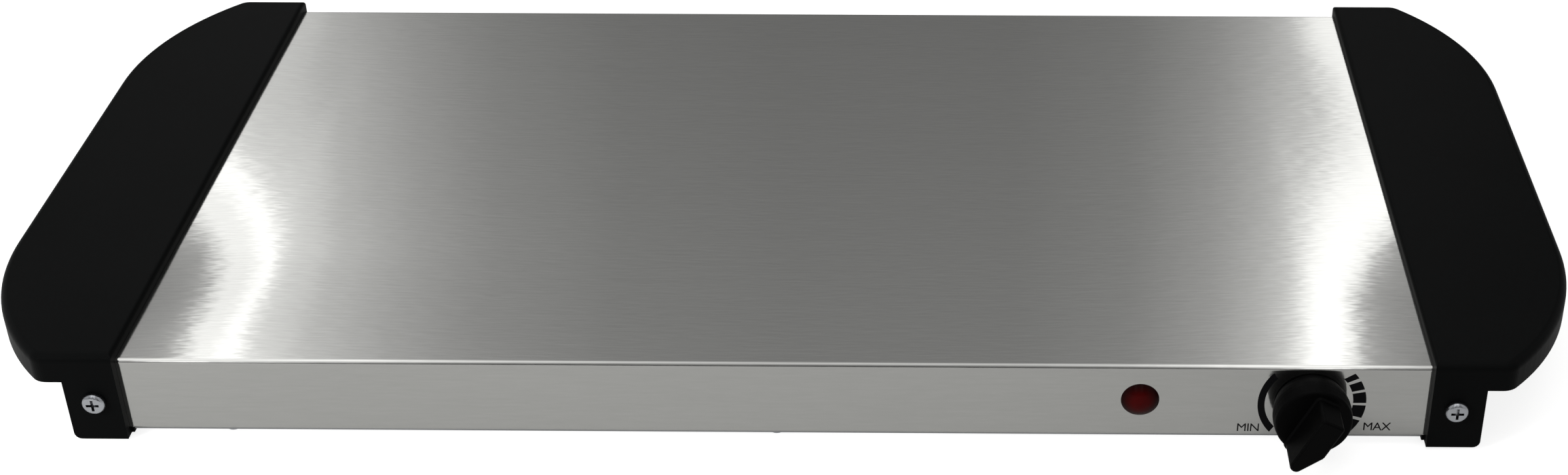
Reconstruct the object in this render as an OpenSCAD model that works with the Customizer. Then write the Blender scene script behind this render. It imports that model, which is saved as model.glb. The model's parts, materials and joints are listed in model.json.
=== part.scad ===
// Electric food warmer tray: a folded steel plate between two moulded end caps.
// X runs along the tray, Y from front to back, Z up. Z = 0 is what the foot pads stand on,
// and X = Y = 0 is the middle of the whole object, knob included.

/* [Tray sheet] */
// Width of steel that shows between the end caps
plate_w = 450; // [380:5:560]
// Depth over the front and back skirts
plate_d = 263.5; // [240:0.5:300]
// Height of the skirts
skirt_h = 29.3; // [28:0.1:36]
// Thickness of the stainless sheet
sheet_t = 0.6; // [0.5:0.1:0.9]
// Outside radius of the folds
fold_r = 1.5; // [1.2:0.1:2.4]
// Width of the hem turned in under each skirt
hem_w = 9; // [8:0.5:12]
// Length of sheet that runs into each end cap
tuck = 12; // [9:0.5:12.5]

/* [End caps] */
// Reach of a cap outwards from the visible steel
cap_reach = 57.6; // [50:0.1:66]
// Height of the cap's top above the plate
cap_rise = 3.7; // [3:0.1:5]
// How far the cap stands proud of the skirts
cap_lap = 3.3; // [2.8:0.1:4]
// Thickness of the wing at its edge
wing_t = 10.8; // [9.5:0.1:14]
// Length of the wing's straight front edge
shoulder_l = 23.6; // [22.5:0.1:30]
// Radius of the wing's big corners
corner_r = 104.4; // [90:0.1:125]
// Radius that blends each big corner into the front or back edge
blend_r = 6.9; // [4:0.1:10]
// Rounding along the wing's top edge
top_fillet = 3; // [2:0.1:3.5]
// Rounding along the lip over the plate
lip_fillet = 1.6; // [0.8:0.1:2.2]
// Wall thickness of the moulding
cap_wall = 2.5; // [2:0.1:3]
// Thickness of the wing's top deck
deck_t = 2.8; // [2:0.1:3.5]
// Width of the housing under the wing, and of its legs
house_w = 18.5; // [18:0.1:21]
// Length of each leg from front to back
leg_l = 30; // [20:1:50]
// How far the legs reach below the skirts
leg_drop = 1.9; // [1.6:0.1:3]
// Height of the relief between the legs
relief_h = 2.5; // [1:0.1:2.7]
// Rounding of the legs' outer bottom edge
leg_r = 2.5; // [1:0.1:4]
// Inner wall thickness behind the sheet
inner_wall = 1.8; // [1.4:0.1:2.4]
// Distance that the inner wall stands out past the lip
inner_step = 1; // [0.5:0.1:1.5]
// Thickness of the stiffening ribs under the wing
rib_t = 1.6; // [1:0.1:2.4]
// Number of stiffening ribs under the wing
rib_n = 3; // [3:1:8]

/* [Cap screws] */
// Distance of each cap screw from the visible steel
screw_in = 8.7; // [8:0.1:9.5]
// Depth of each cap screw below the plate
screw_down = 15.3; // [12:0.1:18]
// Shank diameter
screw_d = 3.9; // [3:0.1:4.2]
// Head diameter
screw_head_d = 8; // [7:0.1:9]
// Head height
screw_head_h = 2.5; // [2:0.1:3.2]
// Shank length
screw_l = 14; // [10:0.5:18]

/* [Foot pads] */
// Diameter of a pad
pad_d = 11; // [8:0.5:13]
// Height of a pad below the leg
pad_out = 1.2; // [1:0.1:3]
// Depth of the pad's seat in the leg
pad_seat = 1.2; // [0.8:0.1:1.4]
// Diameter of the pad's stem
pad_stem_d = 4; // [3:0.5:5]

/* [Control knob] */
// Distance of the knob from the right end of the visible steel
knob_side = 41; // [36:0.5:60]
// Depth of the knob's axis below the plate
knob_down = 15; // [14.5:0.1:15.5]
// Largest radius of the knob's drum
knob_r = 13.5; // [13:0.1:14]
// Radius of the drum next to the panel
knob_base_r = 12.1; // [11.5:0.1:12.6]
// Height of the drum's widest ring above the panel
knob_belly = 7.5; // [6:0.1:9]
// Front face of the drum above the panel
drum_h = 12; // [11:0.1:13]
// Rounding of the drum's front edge
knob_edge = 1; // [0.6:0.1:1.6]
// Front face of the grip above the panel
knob_h = 25.2; // [23:0.1:28]
// Distance of the pointer's nose from the knob's axis
nose_r = 12.9; // [12:0.1:14]
// Half width of the grip
grip_half = 4.3; // [4.3:0.1:5]
// Distance of the grip's tail from the knob's axis
grip_tail = 10.2; // [8:0.1:12]
// Wall of the hollow drum
knob_wall = 2.2; // [1.6:0.1:2.4]
// Direction of the pointer at rest, anticlockwise from +X seen from the front
knob_rest = 243; // [230:1:250]
// Running gap between the knob and the panel
knob_gap = 0.5; // [0.3:0.1:1]

/* [Pilot lamp] */
// Distance of the lamp from the right end of the visible steel
lamp_side = 99.3; // [85:0.1:140]
// Depth of the lamp's axis below the plate
lamp_down = 14; // [12:0.1:17]
// Diameter of the lens
lens_d = 13.2; // [11:0.1:15]
// Height of the lens dome above the panel
lens_h = 2.6; // [1.6:0.1:3.5]
// Diameter of the lamp's barrel
barrel_d = 11; // [10:0.1:12]
// Length of the barrel behind the panel
barrel_l = 12; // [10:0.5:16]
// Diameter of the neon bulb
bulb_d = 5.6; // [5:0.1:6]

/* [Heater] */
// Margin from the end caps to the heater
heat_side = 25; // [18:1:40]
// Margin from the skirts to the heater
heat_edge = 27; // [26:0.5:34]
// Thickness of the aluminium spreader
spreader_t = 0.8; // [0.5:0.1:1]
// Thickness of each mica sheet
mica_t = 0.4; // [0.3:0.1:0.5]
// Thickness of the heater ribbon
ribbon_t = 0.2; // [0.1:0.1:0.4]
// Width of the heater ribbon
ribbon_w = 6; // [4:0.5:8]
// Number of ribbon runs, always even
ribbon_n = 10; // [6:2:10]
// Margin from the mica's edge to the ribbon
ribbon_edge = 11; // [10:0.5:14]
// Thickness of the insulation blanket
blanket_t = 6; // [4:0.5:6.5]
// Thickness of the pressure plate
press_t = 0.8; // [0.6:0.1:1.2]
// Distance between the outer stud columns and the middle one
stud_pitch = 150; // [100:5:160]
// Diameter of the studs and of the heater posts
stud_d = 4; // [3:0.1:5]
// Distance that a stud reaches below the pressure plate
stud_out = 7.9; // [7.4:0.1:9]
// Height of a stud nut
nut_h = 3.2; // [2:0.1:3.2]

/* [Thermostat] */
// Diameter of the bush
bush_d = 9.8; // [9:0.1:11]
// Reach of the bush out of the panel
bush_out = 5.5; // [5:0.1:6]
// Reach of the bush behind the panel
bush_in = 7; // [6:0.1:8]
// Diameter of the spindle
spindle_d = 6; // [5.4:0.1:6.2]
// Thickness of the bracket plate
bracket_t = 1.2; // [1:0.1:1.6]
// Height of the bracket plate
bracket_h = 16; // [14:0.5:16.5]
// Distance from the spindle to the contact stack
stack_side = 28; // [26:0.5:34]
// Diameter of the ceramic spacers
spacer_d = 10; // [8:0.5:11]
// Thickness of the contact arm
arm_t = 0.4; // [0.3:0.1:0.6]
// Thickness of the bimetal leaf
leaf_t = 0.8; // [0.6:0.1:1]
// Height of the contact arm and of the leaf
blade_h = 7; // [6:0.5:8]
// Diameter of the adjusting pin
pin_d = 2.4; // [2:0.1:2.6]
// Open gap between the two contacts with the knob at its lowest setting
contact_gap = 0.9; // [0.9:0.1:1.5]

/* [Base] */
// Thickness of the bottom pan
pan_t = 0.5; // [0.4:0.1:0.8]
// Distance of the pan's edge inside the skirts
pan_edge = 1; // [0.5:0.1:1.5]
// Distance of the outer pan screws from the middle
pan_screw_x = 190; // [150:5:205]
// Length of a vent
vent_l = 24; // [16:1:28]
// Width of a vent
vent_w = 3; // [2:0.5:3.5]
// Vents in a row
vent_n = 9; // [5:2:9]
// Distance from one vent to the next
vent_pitch = 36; // [32:1:38]

/* [Cord inlet] */
// Distance of the gland from the right end of the visible steel
gland_side = 60; // [45:1:100]
// Diameter of the gland's flange
gland_flange_d = 18; // [16:0.5:20]
// Width of the gland's square neck
gland_neck = 12; // [10:0.5:12.5]
// Bore of the gland
gland_bore_d = 7.4; // [6:0.1:8]
// Height of the flange outside the skirt
gland_out = 2.4; // [1.5:0.1:2.6]
// Distance of the terminal block from the back skirt
block_back = 34; // [28:1:50]
// Distance between the block's poles
pole_pitch = 10; // [9:0.5:12]

/* [Fits] */
// Gap round the sheet in the end caps' slots
slot_fit = 0.1; // [0.05:0.05:0.2]
// Gap at the end of a slot or a blind hole
end_fit = 0.3; // [0.2:0.1:0.5]
// Radial gap of a screw, a stud or a pad in its own hole
hole_fit = 0.05; // [0.02:0.01:0.1]
// Radial gap of a clearance hole
free_fit = 0.3; // [0.2:0.05:0.4]
// Radial gap of a part that turns or slides
run_fit = 0.05; // [0.02:0.01:0.08]

/* [Hidden] */
$fn = 64;
slice = 0.01;
fillet_steps = 8;

// Heights
leg_z = pad_out;
skirt_z = leg_z + leg_drop;
plate_z = skirt_z + skirt_h;
under_z = plate_z - sheet_t;
cap_z = plate_z + cap_rise;
wing_z = cap_z - wing_t;
pan_z = skirt_z - pan_t;

// The knob reaches further in front than the screw heads do behind, and X = Y = 0 is the middle of both
tray_y = (knob_h - cap_lap - screw_head_h) / 2;
cap_y = plate_d / 2 + cap_lap;
skin_y = plate_d / 2 - sheet_t - slot_fit;

// Heater layers from the top down
mica1_z = under_z - spreader_t - mica_t;
ribbon_z = mica1_z - ribbon_t;
mica2_z = ribbon_z - mica_t;
blanket_z = mica2_z - blanket_t;
press_z = blanket_z - press_t;
heat_w = plate_w - 2 * heat_side;
heat_d = plate_d - 2 * heat_edge;
run_x = heat_w / 2 - ribbon_edge;
run_pitch = (heat_d - 2 * ribbon_edge) / (ribbon_n - 1);
function run_y(k) = -heat_d / 2 + ribbon_edge + k * run_pitch;
// Each stud row stands halfway between two runs
stud_y = -run_y(1.5);
stud_places = [for (x = [-stud_pitch, 0, stud_pitch], y = [-stud_y, stud_y]) [x, y]];
post_places = [[run_x, run_y(0)], [run_x, run_y(ribbon_n - 1)]];
post_bush_d = 2 * stud_d;
post_low = press_z - 7;

// Places on the front panel
knob_x = plate_w / 2 - knob_side;
knob_z = plate_z - knob_down;
lamp_x = plate_w / 2 - lamp_side;
lamp_z = plate_z - lamp_down;

// Thermostat: depths behind the front panel's outer face
ring_t = 0.8;
back_of_ring = bush_in + end_fit + ring_t;
spindle_end = back_of_ring + 1.2;
pin_l = 6;
pin_travel = 0.6;
knob_turn = 300;
bracket_back = sheet_t + bracket_t;
pin_end = spindle_end + 3;
arm_s = pin_end + end_fit;
rivet_t = 0.8;
leaf_s = arm_s + arm_t + 2 * rivet_t + contact_gap;
stack_end = leaf_s + leaf_t + 2;
stack_x = knob_x - stack_side;
bend_x = stack_x + spacer_d / 2 + 1;
contact_x = knob_x - 6;
tab_l = 12;
tab_t = 0.8;

// Back of the tray
gland_x = plate_w / 2 - gland_side;
gland_z = skirt_z + skirt_h / 2;
block_w = 3 * pole_pitch + 4;
block_d = 20;
block_h = 11;
block_y = plate_d / 2 - block_back;
block_x = gland_x;
pole_z = pan_z + pan_t + block_h / 2;
pole_x = [block_x - pole_pitch, block_x, block_x + pole_pitch];
lead_r = 1.1;
fuse_x = block_x - 70;
fuse_r = 2.2;
fuse_l = 12;
fuse_z = press_z - fuse_r - hole_fit;
lead_z = pan_z + pan_t + 7;

// ---------- helpers ----------

module in_tray() translate([0, tray_y, 0]) children();

// Draws on the front panel: X right, Y up, Z out of the panel's outer face
module facing(x, z) translate([x, -plate_d / 2, z]) rotate([90, 0, 0]) children();

// Draws on the back panel: Z out of its outer face
module facing_back(x, z) translate([x, plate_d / 2, z]) rotate([-90, 0, 0]) children();

// Stands a section of the tray, drawn in Y and Z, along X
module along_x(length) rotate([90, 0, 90]) linear_extrude(length, center = true) children();

module tube(r, bore, h) difference() {
    cylinder(r = r, h = h);
    translate([0, 0, -1]) cylinder(r = bore, h = h + 2);
}

module block(x, y, z) translate([-x / 2, -y / 2, 0]) cube([x, y, z]);

// Rectangle of width w that stands on y = 0, with four round corners
module soft_rect(w, h, r) {
    translate([-w / 2, r]) square([w, h - 2 * r]);
    translate([-w / 2 + r, 0]) square([w - 2 * r, h]);
    for (x = [r - w / 2, w / 2 - r], y = [r, h - r]) translate([x, y]) circle(r);
}

function arc(c, r, from, to, n) =
    [for (i = [0:n]) let (a = from + (to - from) * i / n) c + r * [cos(a), sin(a)]];

// A bendable lead: one closed tube along a path, eight-sided
module lead(path, r = lead_r) {
    sides = 8;
    n = len(path);
    lean = [0.31, 0.17, 0.93];
    function dir(i) = let (d = path[min(i + 1, n - 1)] - path[max(i - 1, 0)]) d / norm(d);
    function ring(i) = let (t = dir(i), u = cross(t, lean) / norm(cross(t, lean)), v = cross(t, u))
        [for (s = [0:sides - 1]) path[i] + r * (cos(360 * s / sides) * u + sin(360 * s / sides) * v)];
    points = [for (i = [0:n - 1]) each ring(i)];
    skin = [for (i = [0:n - 2], s = [0:sides - 1]) let (a = i * sides, b = a + sides, e = (s + 1) % sides)
        each [[a + s, a + e, b + e], [a + s, b + e, b + s]]];
    ends = [[for (s = [0:sides - 1]) sides - 1 - s], [for (s = [0:sides - 1]) (n - 1) * sides + s]];
    polyhedron(points, concat(skin, ends), convexity = 6);
}

// Machine screw with a pan head on z = 0, its shank going down, and a cross recess
module pan_screw(d, head_d, head_h, length) {
    edge = head_h * 0.6;
    difference() {
        rotate_extrude() {
            square([head_d / 2, head_h - edge]);
            square([head_d / 2 - edge, head_h]);
            translate([head_d / 2 - edge, head_h - edge]) intersection() {
                circle(edge);
                square(edge);
            }
        }
        for (turn = [0, 90]) rotate(turn) translate([0, 0, head_h * 0.45])
            block(head_d * 0.55, head_d * 0.12, head_h);
    }
    translate([0, 0, -length]) cylinder(d = d, h = length);
}

module hex_nut(across, bore, h) difference() {
    cylinder(r = across / sqrt(3), h = h, $fn = 6);
    translate([0, 0, -1]) cylinder(r = bore, h = h + 2, $fn = 64);
}

// ---------- tray sheet ----------

module sheet_rim(grow) difference() {
    translate([0, -grow]) soft_rect(plate_d + 2 * grow, skirt_h + 2 * grow, fold_r + grow);
    translate([0, sheet_t + grow])
        soft_rect(plate_d - 2 * (sheet_t + grow), skirt_h - 2 * (sheet_t + grow), fold_r - sheet_t - grow);
}

module top_plate() color("silver") in_tray() difference() {
    translate([0, 0, skirt_z]) along_x(plate_w + 2 * tuck) difference() {
        sheet_rim(0);
        translate([hem_w - plate_d / 2, -1]) square([plate_d - 2 * hem_w, sheet_t + 2]);
    }
    // The hems stop short of the end caps' inner walls
    for (side = [-1, 1]) translate([side * plate_w / 2, 0, skirt_z - 1]) intersection() {
        block(2 * (tuck + 1), plate_d - 2 * sheet_t, fold_r + 1);
        translate([-side * (inner_step + end_fit), 0, 0]) scale([side, 1, 1])
            translate([0, -plate_d / 2, 0]) cube([2 * tuck, plate_d, fold_r + 1]);
    }
    facing(knob_x, knob_z) translate([0, 0, -2 * sheet_t]) cylinder(d = bush_d + free_fit, h = 3 * sheet_t);
    facing(lamp_x, lamp_z) translate([0, 0, -2 * sheet_t]) cylinder(d = barrel_d + free_fit, h = 3 * sheet_t);
    facing_back(gland_x, gland_z) translate([0, 0, -2 * sheet_t])
        block(gland_neck + 2 * hole_fit, gland_neck + 2 * hole_fit, 3 * sheet_t);
    // Notches that slide past the cap screws, open at the sheet's ends
    cap_screw_places() translate([0, 0, -cap_lap - 2 * sheet_t]) {
        cylinder(d = screw_d + 2 * free_fit, h = 3 * sheet_t);
        translate([0, -screw_d / 2 - free_fit, 0]) cube([tuck, screw_d + 2 * free_fit, 3 * sheet_t]);
    }
    pan_screw_places() translate([0, 0, -2]) cylinder(d = 2.8 + 2 * hole_fit, h = 4);
}

// ---------- end caps ----------

// Right-hand wing seen from above, drawn in from its edge by inset and from its lip by lip
function wing_outline(inset, lip) =
    let (
        in = max(blend_r, inset),
        big_c = [
            cap_reach - corner_r,
            cap_y - blend_r - sqrt(pow(corner_r - blend_r, 2) - pow(shoulder_l - cap_reach + corner_r, 2))
        ],
        rise = cap_y - in - big_c.y,
        blend_c = [big_c.x + sqrt(pow(corner_r - in, 2) - rise * rise), cap_y - in],
        turn = atan2(rise, blend_c.x - big_c.x),
        half = concat(
            arc(big_c, corner_r - inset, 0, turn, 20),
            inset < blend_r ? arc(blend_c, blend_r - inset, turn, 90, 6) : [],
            [[lip, cap_y - inset]]
        )
    )
    concat(half, [for (i = [len(half) - 1:-1:0]) [half[i].x, -half[i].y]]);

// The lip's own rounding at height z
function lip_inset(z) = let (up = max(0, z - cap_z + lip_fillet)) lip_fillet - sqrt(pow(lip_fillet, 2) - up * up);

module wing_skin() hull() {
    translate([0, 0, wing_z]) linear_extrude(slice) polygon(wing_outline(0, 0));
    for (k = [0:fillet_steps]) {
        a = 90 * k / fillet_steps;
        z = cap_z - top_fillet * (1 - sin(a));
        translate([0, 0, z - slice]) linear_extrude(slice)
            polygon(wing_outline(top_fillet * (1 - cos(a)), lip_inset(z)));
    }
}

module house_skin() translate([0, cap_y, 0]) rotate([90, 0, 0]) linear_extrude(2 * cap_y) {
    translate([0, leg_z + leg_r]) square([house_w, wing_z - leg_z - leg_r + slice]);
    translate([0, leg_z]) square([house_w - leg_r, leg_r + 1]);
    translate([house_w - leg_r, leg_z + leg_r]) circle(leg_r);
}

leg_y = cap_y - leg_l / 2;
ceiling_z = under_z - slot_fit - inner_wall;
hollow_u = 1.4;
boss_r = 4.5;
boss_l = screw_l - cap_lap;

module house_hollow() {
    deep = skin_y - inner_wall;
    wide = house_w - cap_wall - hollow_u;
    translate([hollow_u, -deep, leg_z + cap_wall]) cube([wide, 2 * deep, ceiling_z - leg_z - cap_wall]);
    open_y = cap_y - leg_l;
    translate([hollow_u, -open_y, leg_z - 1]) cube([wide, 2 * open_y, cap_wall + 2]);
    translate([-2 * inner_step, -open_y, leg_z - 1]) cube([house_w * 2, 2 * open_y, relief_h + 1]);
}

module wing_hollow() difference() {
    translate([0, 0, wing_z - 1]) linear_extrude(wing_t - deck_t + 1) polygon(wing_outline(cap_wall, house_w));
    for (k = [1:rib_n]) translate([0, (2 * k / (rib_n + 1) - 1) * cap_y - rib_t / 2, wing_z + cap_wall / 2])
        cube([cap_reach, rib_t, wing_t]);
}

// The screw's boss behind the sheet, hung from the housing's ceiling by a gusset
module cap_boss() {
    z = plate_z - screw_down;
    translate([screw_in, skin_y, z]) rotate([90, 0, 0]) cylinder(r = boss_r, h = boss_l);
    translate([screw_in - rib_t / 2, skin_y - boss_l, z]) cube([rib_t, boss_l, ceiling_z - z + 1]);
}

module cap_body() {
    difference() {
        union() {
            wing_skin();
            house_skin();
            translate([-inner_step, -skin_y, leg_z]) cube([inner_step + 2, 2 * skin_y, under_z - slot_fit - leg_z]);
        }
        house_hollow();
        wing_hollow();
    }
    cap_boss();
    mirror([0, 1, 0]) cap_boss();
}

// Screws stand on the caps' front and back faces, each turned so that its X points to the tray's end
module cap_screw_places() for (side = [-1, 1]) {
    x = side * (plate_w / 2 + screw_in);
    turn = side > 0 ? 0 : 180;
    facing(x, plate_z - screw_down) translate([0, 0, cap_lap]) rotate(turn) children();
    facing_back(x, plate_z - screw_down) translate([0, 0, cap_lap]) rotate(turn) children();
}

module end_cap() difference() {
    translate([plate_w / 2, 0, 0]) cap_body();
    // Slot for the sheet: its rim, grown all round and cut off below the skirts
    translate([plate_w / 2 + (tuck + end_fit) / 2 - inner_step, 0, skirt_z])
        along_x(tuck + end_fit + 2 * inner_step) difference() {
            sheet_rim(slot_fit);
            translate([slot_fit + sheet_t - plate_d / 2, -1]) square([2 * skin_y, fold_r + 1]);
        }
    cap_screw_places() {
        translate([0, 0, -cap_lap]) cylinder(d = screw_d + 2 * free_fit, h = cap_lap + 1);
        translate([0, 0, -screw_l - 1]) cylinder(d = screw_d + 2 * hole_fit, h = screw_l + 1);
    }
    foot_places() {
        translate([0, 0, leg_z - 1]) cylinder(d = pad_d + 2 * hole_fit, h = pad_seat + 1);
        translate([0, 0, leg_z]) cylinder(d = pad_stem_d + 2 * hole_fit, h = cap_wall + 1);
    }
}

module right_end_cap() color("#1c1c1e") in_tray() end_cap();

module left_end_cap() color("#1c1c1e") in_tray() mirror([1, 0, 0]) end_cap();

module cap_screws() color("gainsboro") in_tray() cap_screw_places()
    pan_screw(screw_d, screw_head_d, screw_head_h, screw_l);

module foot_places() for (side = [-1, 1], end = [-1, 1])
    translate([side * (plate_w / 2 + house_w / 2), end * leg_y, 0]) children();

module foot_pads() color("#262626") in_tray() foot_places() {
    cylinder(d = pad_d, h = leg_z + pad_seat);
    cylinder(d = pad_stem_d, h = leg_z + cap_wall + 1);
    translate([0, 0, leg_z + cap_wall]) cylinder(d = pad_stem_d + 1.2, h = 1);
}

// ---------- base ----------

module pan_screw_places() for (x = [-pan_screw_x, 0, pan_screw_x], side = [-1, 1])
    translate([x, side * (plate_d / 2 - (sheet_t + hem_w) / 2), skirt_z]) children();

module bottom_pan() color("lightgrey") in_tray() difference() {
    translate([0, 0, pan_z])
        block(plate_w - 2 * (inner_step + end_fit), plate_d - 2 * pan_edge, pan_t);
    pan_screw_places() translate([0, 0, -2]) cylinder(d = 2.8 + 2 * free_fit, h = 4);
    for (k = [0:vent_n - 1], side = [-1, 1])
        translate([(k - (vent_n - 1) / 2) * vent_pitch, side * vent_l, pan_z - 1]) rotate(90)
            linear_extrude(pan_t + 2) translate([0, -vent_w / 2]) soft_rect(vent_l, vent_w, vent_w / 2 - slice);
    translate([block_x + pole_pitch / 2, block_y, pan_z - 1]) cylinder(r = 1.5 + hole_fit, h = pan_t + 2);
}

module pan_screws() color("gainsboro") in_tray() pan_screw_places() translate([0, 0, -pan_t])
    rotate([180, 0, 0]) pan_screw(2.8, 6, 1.4, 5);

// ---------- heater ----------

module sheet_layer(z, t, bore, post_bore) difference() {
    translate([0, 0, z]) block(heat_w, heat_d, t);
    for (p = stud_places) translate([p.x, p.y, z - 1]) cylinder(r = bore, h = t + 2);
    if (post_bore > 0) for (p = post_places) translate([p.x, p.y, z - 1]) cylinder(r = post_bore, h = t + 2);
}

module plate_studs() color("silver") in_tray() for (p = stud_places)
    translate([p.x, p.y, press_z - stud_out]) cylinder(d = stud_d, h = under_z - press_z + stud_out);

module heat_spreader() color("lightsteelblue") in_tray()
    sheet_layer(under_z - spreader_t, spreader_t, stud_d / 2 + free_fit, 0);

module upper_mica() color("khaki") in_tray() sheet_layer(mica1_z, mica_t, stud_d / 2 + free_fit, 0);

module heater_ribbon() color("#8a7f74") in_tray() translate([0, 0, ribbon_z]) {
    for (k = [0:ribbon_n - 1]) translate([0, run_y(k), 0]) block(2 * run_x + ribbon_w, ribbon_w, ribbon_t);
    for (k = [0:ribbon_n - 2]) translate([(k % 2 == 0 ? -1 : 1) * run_x, run_y(k + 0.5), 0])
        block(ribbon_w, run_pitch, ribbon_t);
}

module lower_mica() color("khaki") in_tray() sheet_layer(mica2_z, mica_t, stud_d / 2 + free_fit, stud_d / 2 + hole_fit);

module insulation_blanket() color("ivory") in_tray()
    sheet_layer(blanket_z, blanket_t, stud_d / 2 + free_fit, post_bush_d / 2 + free_fit);

module pressure_plate() color("lightgrey") in_tray()
    sheet_layer(press_z, press_t, stud_d / 2 + free_fit, post_bush_d / 2 + hole_fit);

module stud_nuts() color("gainsboro") in_tray() for (p = stud_places)
    translate([p.x, p.y, press_z - nut_h]) hex_nut(7, stud_d / 2 + hole_fit, nut_h);

module heater_posts() color("goldenrod") in_tray() for (p = post_places)
    translate([p.x, p.y, post_low]) cylinder(d = stud_d, h = ribbon_z - post_low);

module post_bushes() color("white") in_tray() for (p = post_places)
    translate([p.x, p.y, press_z - 1]) tube(post_bush_d / 2, stud_d / 2 + hole_fit, mica2_z - press_z + 1);

module post_nuts() color("goldenrod") in_tray() for (p = post_places)
    translate([p.x, p.y, press_z - 1 - nut_h]) hex_nut(7, stud_d / 2 + hole_fit, nut_h);

module thermal_fuse() color("tan") in_tray() translate([fuse_x, 0, fuse_z]) rotate([0, 90, 0])
    cylinder(r = fuse_r, h = fuse_l, center = true);

module fuse_strap() color("silver") in_tray() {
    wide = 6;
    skin = 0.5;
    translate([fuse_x, 0, 0]) difference() {
        union() {
            translate([-wide / 2, 0, fuse_z]) rotate([0, 90, 0]) cylinder(r = fuse_r + hole_fit + skin, h = wide);
            translate([0, 0, fuse_z]) block(wide, 2 * (fuse_r + hole_fit + skin), press_z - fuse_z);
            translate([0, 0, press_z - skin]) block(wide, 22, skin);
        }
        translate([-wide, 0, fuse_z]) rotate([0, 90, 0]) cylinder(r = fuse_r + hole_fit, h = 2 * wide);
        translate([0, 0, fuse_z]) block(2 * wide, 2 * (fuse_r + hole_fit), 2 * fuse_r);
        for (side = [-8, 8]) translate([0, side, press_z - 2]) cylinder(r = 1.5 + hole_fit, h = 4);
    }
}

module fuse_screws() color("gainsboro") in_tray() for (side = [-8, 8])
    translate([fuse_x, side, press_z - 0.5]) rotate([180, 0, 0]) pan_screw(2.9, 5, 1.6, 0.5);

// ---------- thermostat ----------

module thermostat_bracket() color("silver") in_tray() facing(knob_x, knob_z) difference() {
    union() {
        translate([-stack_side - 7, -bracket_h / 2, -bracket_back])
            cube([stack_side + 17, bracket_h, bracket_t]);
        translate([0, 0, -bush_in]) cylinder(d = bush_d, h = bush_in + bush_out);
    }
    translate([0, 0, -bush_in - 1]) cylinder(r = spindle_d / 2 + run_fit, h = bush_in + bush_out + 2);
    translate([-stack_side, 0, -bush_in]) cylinder(r = 1.5 + hole_fit, h = bush_in);
}

module bush_nut() color("gainsboro") in_tray() facing(knob_x, knob_z) hex_nut(14, bush_d / 2 + hole_fit, 2.2);

shaft_top = knob_h - 8;
flat_at = spindle_d / 4;
shaft_bore_z = bush_out + end_fit;

module spindle() color("silver") in_tray() facing(knob_x, knob_z) rotate(knob_rest) difference() {
    translate([0, 0, -spindle_end]) cylinder(d = spindle_d, h = spindle_end + shaft_top);
    translate([flat_at, -spindle_d, shaft_bore_z]) cube([spindle_d, 2 * spindle_d, knob_h]);
    // Blind hole for the adjusting pin
    translate([0, 0, -spindle_end - 1]) cylinder(r = pin_d / 2 + run_fit, h = pin_l);
    // Groove for the retaining ring
    translate([0, 0, -back_of_ring]) tube(spindle_d, spindle_d / 2 - 0.5, ring_t);
}

module spindle_ring() color("dimgray") in_tray() facing(knob_x, knob_z) rotate(knob_rest)
    translate([0, 0, -back_of_ring + hole_fit]) difference() {
        tube(spindle_d / 2 + 2, spindle_d / 2 - 0.5 + hole_fit, ring_t - 2 * hole_fit);
        translate([0, -1.5, -1]) cube([spindle_d, 3, ring_t + 2]);
    }

// The grip's outline: one flank runs straight to the nose, the other turns in halfway
module grip_outline(growth) {
    nose = 2.2;
    bulge = 3.3;
    tail = 1.2;
    translate([nose_r - nose, nose - grip_half]) circle(nose + growth, $fn = 32);
    translate([nose_r / 5, grip_half - bulge]) circle(bulge + growth, $fn = 32);
    for (side = [-1, 1])
        translate([tail - grip_tail, side * (grip_half - tail)]) circle(tail + growth, $fn = 32);
}

// Levels of the grip: height, growth of the outline
module grip_levels(levels) hull() for (level = levels)
    translate([0, 0, level[0] - slice]) linear_extrude(slice) grip_outline(level[1]);

module grip() {
    grip_levels([[drum_h - 2, 0], [knob_h - 1, 0], [knob_h - 0.35, -0.25], [knob_h, -0.8]]);
    // Root fillet on the drum's face
    grip_levels([[drum_h - 0.4, 0.7], [drum_h + 0.1, 0.6], [drum_h + 0.8, 0]]);
}

// The drum's side is part of a circle, like a barrel's
module drum_profile() {
    swell = knob_r - knob_base_r;
    barrel_r = (pow(knob_belly - knob_gap, 2) + swell * swell) / (2 * swell);
    rim_z = drum_h - knob_edge;
    rim_r = knob_r - barrel_r + sqrt(barrel_r * barrel_r - pow(rim_z - knob_belly, 2));
    intersection() {
        translate([knob_r - barrel_r, knob_belly]) circle(barrel_r);
        translate([0, knob_gap]) square([knob_r, rim_z - knob_gap]);
    }
    translate([0, knob_gap]) square([rim_r - knob_edge, drum_h - knob_gap]);
    translate([rim_r - knob_edge, rim_z]) intersection() {
        circle(knob_edge);
        square(knob_edge);
    }
}

module control_knob() color("#161617") in_tray() facing(knob_x, knob_z) rotate(knob_rest) difference() {
    union() {
        rotate_extrude() drum_profile();
        grip();
    }
    translate([0, 0, -1]) cylinder(r = knob_base_r - knob_wall, h = shaft_bore_z + 1);
    cylinder(r = spindle_d / 2 + hole_fit, h = shaft_top + end_fit);
}

module knob_clip() color("silver") in_tray() facing(knob_x, knob_z) rotate(knob_rest)
    translate([flat_at + 0.2, -2, shaft_bore_z + end_fit]) cube([0.5, 4, shaft_top - shaft_bore_z - 1]);

module adjusting_pin() color("white") in_tray() facing(knob_x, knob_z) translate([0, 0, -pin_end])
    cylinder(d = pin_d, h = pin_end - spindle_end + pin_l - 1 - end_fit - pin_travel);

// A leaf of the contact stack, from x0 to x1 at depth s
module leaf(x0, x1, s, t) facing(0, knob_z) translate([x0, -blade_h / 2, -s - t]) cube([x1 - x0, blade_h, t]);

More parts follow.
